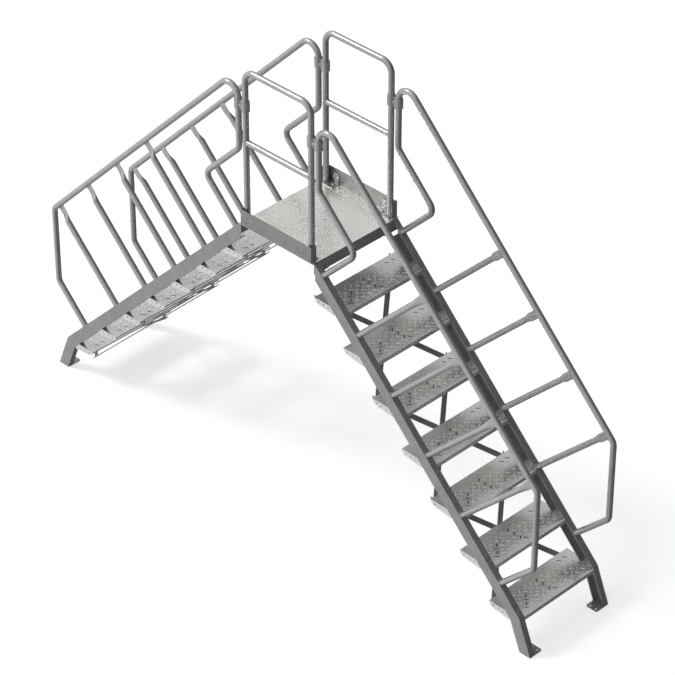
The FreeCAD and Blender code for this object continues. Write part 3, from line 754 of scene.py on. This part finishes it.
class PLATFORM_OT_steelwork(bpy.types.Operator):
    """Zinc on the stringers, plates, toe boards, clamps and bracing"""
    bl_idname = "platform.steelwork"
    bl_label = "Finish steelwork"

    def execute(self, context):
        finish = context.scene.platform_finish
        steel = zinc_material("zinc_channel", finish.steel_colour, metallic=0.6, roughness=0.42,
                              spangle=finish.spangle)
        finish_nodes(("stringer", "end_plates", "foot_plates", "deck_stiffeners"), steel)
        board_colour = [TOE_BOARD_SHADE * part for part in finish.steel_colour]
        board = zinc_material("zinc_toe_board", board_colour, metallic=0.6, roughness=0.40,
                              spangle=finish.spangle, contrast=0.22, clouds=0.8)
        finish_nodes(("toe_board",), board)
        bar = zinc_material("zinc_brace", finish.steel_colour, metallic=0.5, roughness=0.5,
                            spangle=finish.spangle)
        finish_nodes(("bracing",), bar)
        clamp = zinc_material("zinc_clamp", finish.tube_colour, metallic=0.6, roughness=0.34,
                              spangle=finish.spangle)
        finish_nodes(("clamp",), clamp)
        return {"FINISHED"}


class PLATFORM_OT_rails(bpy.types.Operator):
    """Zinc on the guard rails, handrails and balusters"""
    bl_idname = "platform.rails"
    bl_label = "Finish rails"

    def execute(self, context):
        finish = context.scene.platform_finish
        tube = zinc_material("zinc_tube", finish.tube_colour, metallic=0.75, roughness=0.26,
                             spangle=finish.spangle, contrast=0.10, clouds=0.3, spread=0.08)
        finish_nodes(("guard_rail", "mid_rail", "handrail", "balusters"), tube)
        return {"FINISHED"}


class PLATFORM_OT_treads(bpy.types.Operator):
    """Treads with raised and pressed lozenges and a row of small holes behind the nose"""
    bl_idname = "platform.treads"
    bl_label = "Dress treads"

    def execute(self, context):
        finish = context.scene.platform_finish
        plate = context.scene.platform_tread_plate
        plate_colour = [TREAD_SHADE * part for part in finish.tread_colour]
        zinc = zinc_material("zinc_tread", plate_colour, metallic=0.8, roughness=0.26,
                             spangle=finish.spangle, contrast=0.08, clouds=0.25)
        # Brighter zinc for the raised lozenges: a painted highlight.
        lozenge_highlight = zinc_material("zinc_tread_painted_highlight", finish.tread_colour, metallic=0.7, roughness=0.34,
                             spangle=finish.spangle, contrast=0.04, clouds=0.1)
        # Near-black material for the cut recesses: painted shade.
        recess_shade = recess_shade_material()
        tree = build_tread_plate()
        places = [((-back, across, 0.0), (0.0, 0.0, way * LOZENGE_TURN)) for back, across, way in SLOTS]
        slots = bpy.data.objects.new("slots", marked_points("slots", "turn", places))
        context.scene.collection.objects.link(slots)
        for name in TREADS:
            low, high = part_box(name)
            right = name.startswith("tread_right")
            values = {
                "Slots": slots, "Nose": (high.x if right else low.x, 0.0, high.z),
                "Turn": 0.0 if right else math.pi, "Pitch": plate.pitch, "Length": plate.length,
                "Width": plate.width, "Height": plate.height, "Slot Depth": plate.slot_depth,
                "Dot Size": plate.dot_size, "Dot Pitch": plate.dot_pitch, "Zinc": zinc,
                "Painted Highlight": lozenge_highlight, "Painted Shade": recess_shade,
            }
            piece = grow(name.replace("tread_", "tread_plate_"), merged_copy(name), tree, values)
            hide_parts(name)
        bpy.data.objects.remove(slots)
        return {"FINISHED"}


class PLATFORM_OT_deck(bpy.types.Operator):
    """Pale zinc on the deck's top and its fine raised pattern, darker zinc on its sides: a painted lit top
    and shaded sides
    """
    bl_idname = "platform.deck"
    bl_label = "Dress deck"

    def execute(self, context):
        finish = context.scene.platform_finish
        plate = context.scene.platform_tread_plate
        zinc = deck_lit_top_material(finish.deck_colour, finish.steel_colour, DECK_TOP - 0.0001)
        finish_nodes(("deck_pan",), zinc)
        feet = [(mirrored(POST_FOOT, quarter), (0.0, 0.0, 1.0)) for quarter in QUARTERS]
        scale = plate.deck_scale
        grow("deck_lozenges", marked_points("post_feet", "outward", feet), build_deck_pattern(), {
            "Centre": (0.0, 0.0, DECK_TOP), "Pitch": plate.pitch * scale, "Length": plate.length * scale,
            "Width": plate.width * scale, "Height": plate.height * scale, "Zinc": zinc})
        return {"FINISHED"}


class PLATFORM_OT_fasteners(bpy.types.Operator):
    """Bolt heads, nuts and washers of the deck, toe boards, end plates and clamps"""
    bl_idname = "platform.fasteners"
    bl_label = "Fit fasteners"

    def execute(self, context):
        sizes = context.scene.platform_fasteners
        bolt = zinc_material("plated_bolt", context.scene.platform_finish.bolt_colour, metallic=0.7,
                             roughness=0.32, spangle=0.004, contrast=0.06, clouds=0.2)
        heads, nuts, plugs = [], [], []
        bolts = [
            (heads, (DECK_BOLT_X, -RAIL_Y, FOOT_BASE_TOP), (0, 0, 1)),
            (nuts, (DECK_BOLT_X, -RAIL_Y, DECK_TOP - DECK_PLATE), (0, 0, -1)),
            (plugs, (TOE_BOLT[0], -TOE_FACES[0], TOE_BOLT[1]), (0, -1, 0)),
            (nuts, (TOE_BOLT[0], -TOE_FACES[1], TOE_BOLT[1]), (0, 1, 0)),
        ]
        for level in END_BOLT_LEVELS:
            bolts.append((heads, (END_FACES[0], -END_BOLT_Y, level), (1, 0, 0)))
            bolts.append((nuts, (END_FACES[1], -END_BOLT_Y, level), (-1, 0, 0)))
        bolts.append((heads, (CLAMP_BOLT[0], -CLAMP_FACES[0], CLAMP_BOLT[1]), (0, -1, 0)))
        bolts.append((nuts, (CLAMP_BOLT[0], -CLAMP_FACES[1], CLAMP_BOLT[1]), (0, 1, 0)))
        for quarter in QUARTERS:
            for group, point, axis in bolts:
                group.append((mirrored(point, quarter), mirrored(axis, quarter)))
        tree = build_hex_fastener()
        shared = {"Across Flats": sizes.across_flats, "Hex Height": sizes.head_height,
                  "Washer": sizes.washer, "Bolt": bolt}
        grow("bolt_heads", marked_points("heads", "outward", heads), tree,
             {**shared, "Stud": 0.006, "Stud Height": 0.0002})
        grow("bolt_nuts", marked_points("nuts", "outward", nuts), tree, {**shared, "Stud Height": 0.004})
        grow("bolt_plugs", marked_points("plugs", "outward", plugs), tree, {**PLUG_SIZES, "Bolt": bolt})
        return {"FINISHED"}


class PLATFORM_OT_welds(bpy.types.Operator):
    """Rippled welds at the feet of tubes and channels, at mid rails and at paddles"""
    bl_idname = "platform.welds"
    bl_label = "Lay welds"

    def execute(self, context):
        sizes = context.scene.platform_fasteners
        weld = zinc_material("zinc_weld", context.scene.platform_finish.steel_colour, metallic=0.6,
                             roughness=0.4, spangle=0.004, contrast=0.1, clouds=0.3)
        grow("weld_beads", run_mesh("weld_runs", weld_runs()), build_weld_bead(),
             {"Bead": sizes.bead, "Ripple": sizes.ripple, "Weld": weld})
        return {"FINISHED"}


def seen_directly(tree):
    """Mask of the rays by which the camera, metal and glass see a surface."""
    path = tree.nodes.new("ShaderNodeLightPath")
    seen = math_node(tree, "MAXIMUM", path.outputs["Is Camera Ray"], path.outputs["Is Glossy Ray"])
    return math_node(tree, "MAXIMUM", seen, path.outputs["Is Transmission Ray"])


class PLATFORM_OT_stage(bpy.types.Operator):
    """Pale floor, sunlight, a studio that is darker on one side, and the camera"""
    bl_idname = "platform.stage"
    bl_label = "Set the stage"

    def execute(self, context):
        stage = context.scene.platform_stage
        self.floor(stage)
        self.light(stage)
        self.camera(context, stage)
        return {"FINISHED"}

    def floor(self, stage):
        """White floor that metal doesn't mirror."""
        corners = ((-1, -1), (1, -1), (1, 1), (-1, 1))
        mesh = bpy.data.meshes.new("floor")
        mesh.from_pydata([(FLOOR_REACH * x, FLOOR_REACH * y, 0) for x, y in corners], [], [(0, 1, 2, 3)])
        plane = bpy.data.objects.new("floor", mesh)
        bpy.context.scene.collection.objects.link(plane)
        material = bpy.data.materials.new("pale_floor")
        material.use_nodes = True
        tree = material.node_tree
        shader = tree.nodes["Principled BSDF"]
        shader.inputs["Base Color"].default_value = (0.86, 0.86, 0.86, 1.0)
        shader.inputs["Roughness"].default_value = 0.9
        shader.inputs["Specular IOR Level"].default_value = 0.1
        shader.inputs["Emission Color"].default_value = (1.0, 1.0, 1.0, 1.0)
        lift = math_node(tree, "MULTIPLY", seen_directly(tree), stage.floor_lift)
        link(tree, lift, shader.inputs["Emission Strength"])
        mesh.materials.append(material)
        plane.visible_glossy = False

    def light(self, stage):
        """Key light, and a world that is white to the camera and graded to the metal."""
        lamp = bpy.data.lights.new("key", "SUN")
        lamp.energy = stage.key_strength
        lamp.angle = KEY_ANGLE
        key = bpy.data.objects.new("key", lamp)
        key.rotation_euler = KEY_DIRECTION.to_track_quat("Z", "Y").to_euler()
        bpy.context.scene.collection.objects.link(key)
        world = bpy.data.worlds.new("studio")
        bpy.context.scene.world = world
        world.use_nodes = True
        tree = world.node_tree
        background = tree.nodes["Background"]
        background.inputs["Color"].default_value = (1.0, 1.0, 1.0, 1.0)
        towards = tree.nodes.new("ShaderNodeVectorMath")
        towards.operation = "DOT_PRODUCT"
        link(tree, tree.nodes.new("ShaderNodeTexCoord").outputs["Generated"], towards.inputs[0])
        towards.inputs[1].default_value = STUDIO_DIRECTION.normalized()
        ramp = tree.nodes.new("ShaderNodeMapRange")
        ramp.interpolation_type = "SMOOTHSTEP"
        ramp.inputs["From Min"].default_value = STUDIO_DARK_END
        ramp.inputs["From Max"].default_value = STUDIO_BRIGHT_END
        ramp.inputs["To Min"].default_value = stage.dark_side
        ramp.inputs["To Max"].default_value = 1.0
        link(tree, towards.outputs["Value"], ramp.inputs["Value"])
        seen = seen_directly(tree)
        share = math_node(tree, "ADD", math_node(tree, "MULTIPLY", seen, 1.0 - stage.sky_level),
                          stage.sky_level)
        lit = math_node(tree, "MULTIPLY", ramp.outputs["Result"], share)
        camera = tree.nodes.new("ShaderNodeLightPath").outputs["Is Camera Ray"]
        link(tree, math_node(tree, "MAXIMUM", lit, camera), background.inputs["Strength"])

    def camera(self, context, stage):
        """Camera that was fitted to the photo."""
        lens = bpy.data.cameras.new("camera")
        lens.lens = stage.focal_length
        lens.sensor_width = 36.0
        lens.clip_end = 200.0
        camera = bpy.data.objects.new("camera", lens)
        camera.location = stage.camera_place
        camera.rotation_euler = (stage.camera_tilt, 0.0, stage.camera_turn)
        context.scene.collection.objects.link(camera)
        context.scene.camera = camera
        context.scene.view_settings.view_transform = "Standard"


class PLATFORM_PT_panel(bpy.types.Panel):
    """Lists the steps that dress the platform"""
    bl_label = "Crossover platform"
    bl_space_type = "VIEW_3D"
    bl_region_type = "UI"
    bl_category = "Platform"

    def draw(self, context):
        for step in STEPS:
            self.layout.operator(step.bl_idname)
        for group in GROUPS:
            settings = getattr(context.scene, group)
            column = self.layout.column()
            for name in settings.bl_rna.properties.keys():
                if name not in ("rna_type", "name"):
                    column.prop(settings, name)


STEPS = (PLATFORM_OT_steelwork, PLATFORM_OT_rails, PLATFORM_OT_treads, PLATFORM_OT_deck,
         PLATFORM_OT_fasteners, PLATFORM_OT_welds, PLATFORM_OT_stage)
GROUPS = {
    "platform_finish": PlatformFinish,
    "platform_tread_plate": PlatformTreadPlate,
    "platform_fasteners": PlatformFasteners,
    "platform_stage": PlatformStage,
}
CLASSES = tuple(GROUPS.values()) + STEPS + (PLATFORM_PT_panel,)


def register():
    for item in CLASSES:
        bpy.utils.register_class(item)
    for name, group in GROUPS.items():
        setattr(bpy.types.Scene, name, bpy.props.PointerProperty(type=group))


def unregister():
    for name in GROUPS:
        delattr(bpy.types.Scene, name)
    for item in reversed(CLASSES):
        bpy.utils.unregister_class(item)


def main():
    register()
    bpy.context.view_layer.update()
    for step in STEPS:
        group, action = step.bl_idname.split(".")
        getattr(getattr(bpy.ops, group), action)()


if __name__ == "__main__":
    main()
